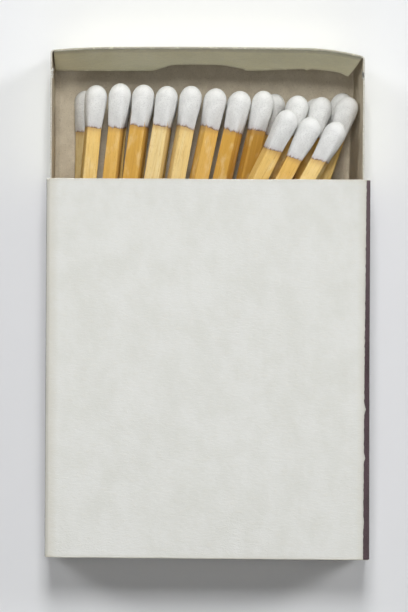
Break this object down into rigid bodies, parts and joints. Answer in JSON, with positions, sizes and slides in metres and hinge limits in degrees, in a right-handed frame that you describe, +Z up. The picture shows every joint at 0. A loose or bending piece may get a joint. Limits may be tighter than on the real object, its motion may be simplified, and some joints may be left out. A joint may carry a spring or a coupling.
{
  "type": "matchbox",
  "caption": "Pocket matchbox: a folded card sleeve with a striking surface on each side, and a card tray of white-headed wooden matches that slides in it.",
  "frame": {"origin": "centre of the sleeve's bottom face", "axes": "+Z up, square to the sleeve's broad faces; +Y along the sleeve, the way the tray opens; +X to the right seen from above with the tray's open end away"},
  "size_m": [0.0454, 0.0714, 0.0121],
  "materials": {
    "white_card": "matte",
    "tray_board": "matte",
    "striking_coat": "matte",
    "stick_wood": "matte",
    "head_compound": "matte"
  },
  "bodies": {
    "sleeve": {"sleeve": "white_card", "striker_left": "striking_coat", "striker_right": "striking_coat"},
    "tray": {"tray": "tray_board", "lower_match_01_stick": "stick_wood", "lower_match_01_head": "head_compound", "lower_match_02_stick": "stick_wood", "lower_match_02_head": "head_compound", "lower_match_03_stick": "stick_wood", "lower_match_03_head": "head_compound", "lower_match_04_stick": "stick_wood", "lower_match_04_head": "head_compound", "lower_match_05_stick": "stick_wood", "lower_match_05_head": "head_compound", "lower_match_06_stick": "stick_wood", "lower_match_06_head": "head_compound", "lower_match_07_stick": "stick_wood", "lower_match_07_head": "head_compound", "lower_match_08_stick": "stick_wood", "lower_match_08_head": "head_compound", "lower_match_09_stick": "stick_wood", "lower_match_09_head": "head_compound", "lower_match_10_stick": "stick_wood", "lower_match_10_head": "head_compound", "upper_match_01_stick": "stick_wood", "upper_match_01_head": "head_compound", "upper_match_02_stick": "stick_wood", "upper_match_02_head": "head_compound", "upper_match_03_stick": "stick_wood", "upper_match_03_head": "head_compound", "upper_match_04_stick": "stick_wood", "upper_match_04_head": "head_compound", "upper_match_05_stick": "stick_wood", "upper_match_05_head": "head_compound", "upper_match_06_stick": "stick_wood", "upper_match_06_head": "head_compound", "upper_match_07_stick": "stick_wood", "upper_match_07_head": "head_compound", "upper_match_08_stick": "stick_wood", "upper_match_08_head": "head_compound", "upper_match_09_stick": "stick_wood", "upper_match_09_head": "head_compound", "upper_match_10_stick": "stick_wood", "upper_match_10_head": "head_compound", "upper_match_11_stick": "stick_wood", "upper_match_11_head": "head_compound"},
    "top_match_01": {"top_match_01_stick": "stick_wood", "top_match_01_head": "head_compound"},
    "top_match_02": {"top_match_02_stick": "stick_wood", "top_match_02_head": "head_compound"},
    "top_match_03": {"top_match_03_stick": "stick_wood", "top_match_03_head": "head_compound"}
  },
  "joints": [
    {"name": "tray_slide", "type": "slide", "parent": "sleeve", "child": "tray", "axis": [0, 1, 0], "range_m": [-0.01835, 0.037]},
    {"name": "top_match_01_slide", "type": "slide", "parent": "tray", "child": "top_match_01", "axis": [0.443, 0.8964, 0.0141], "range_m": [-0.0015, 0.004]},
    {"name": "top_match_02_slide", "type": "slide", "parent": "tray", "child": "top_match_02", "axis": [0.4628, 0.8863, 0.014], "range_m": [-0.0015, 0.004]},
    {"name": "top_match_03_slide", "type": "slide", "parent": "tray", "child": "top_match_03", "axis": [0.484, 0.875, 0.0138], "range_m": [-0.0015, 0.003]}
  ]
}
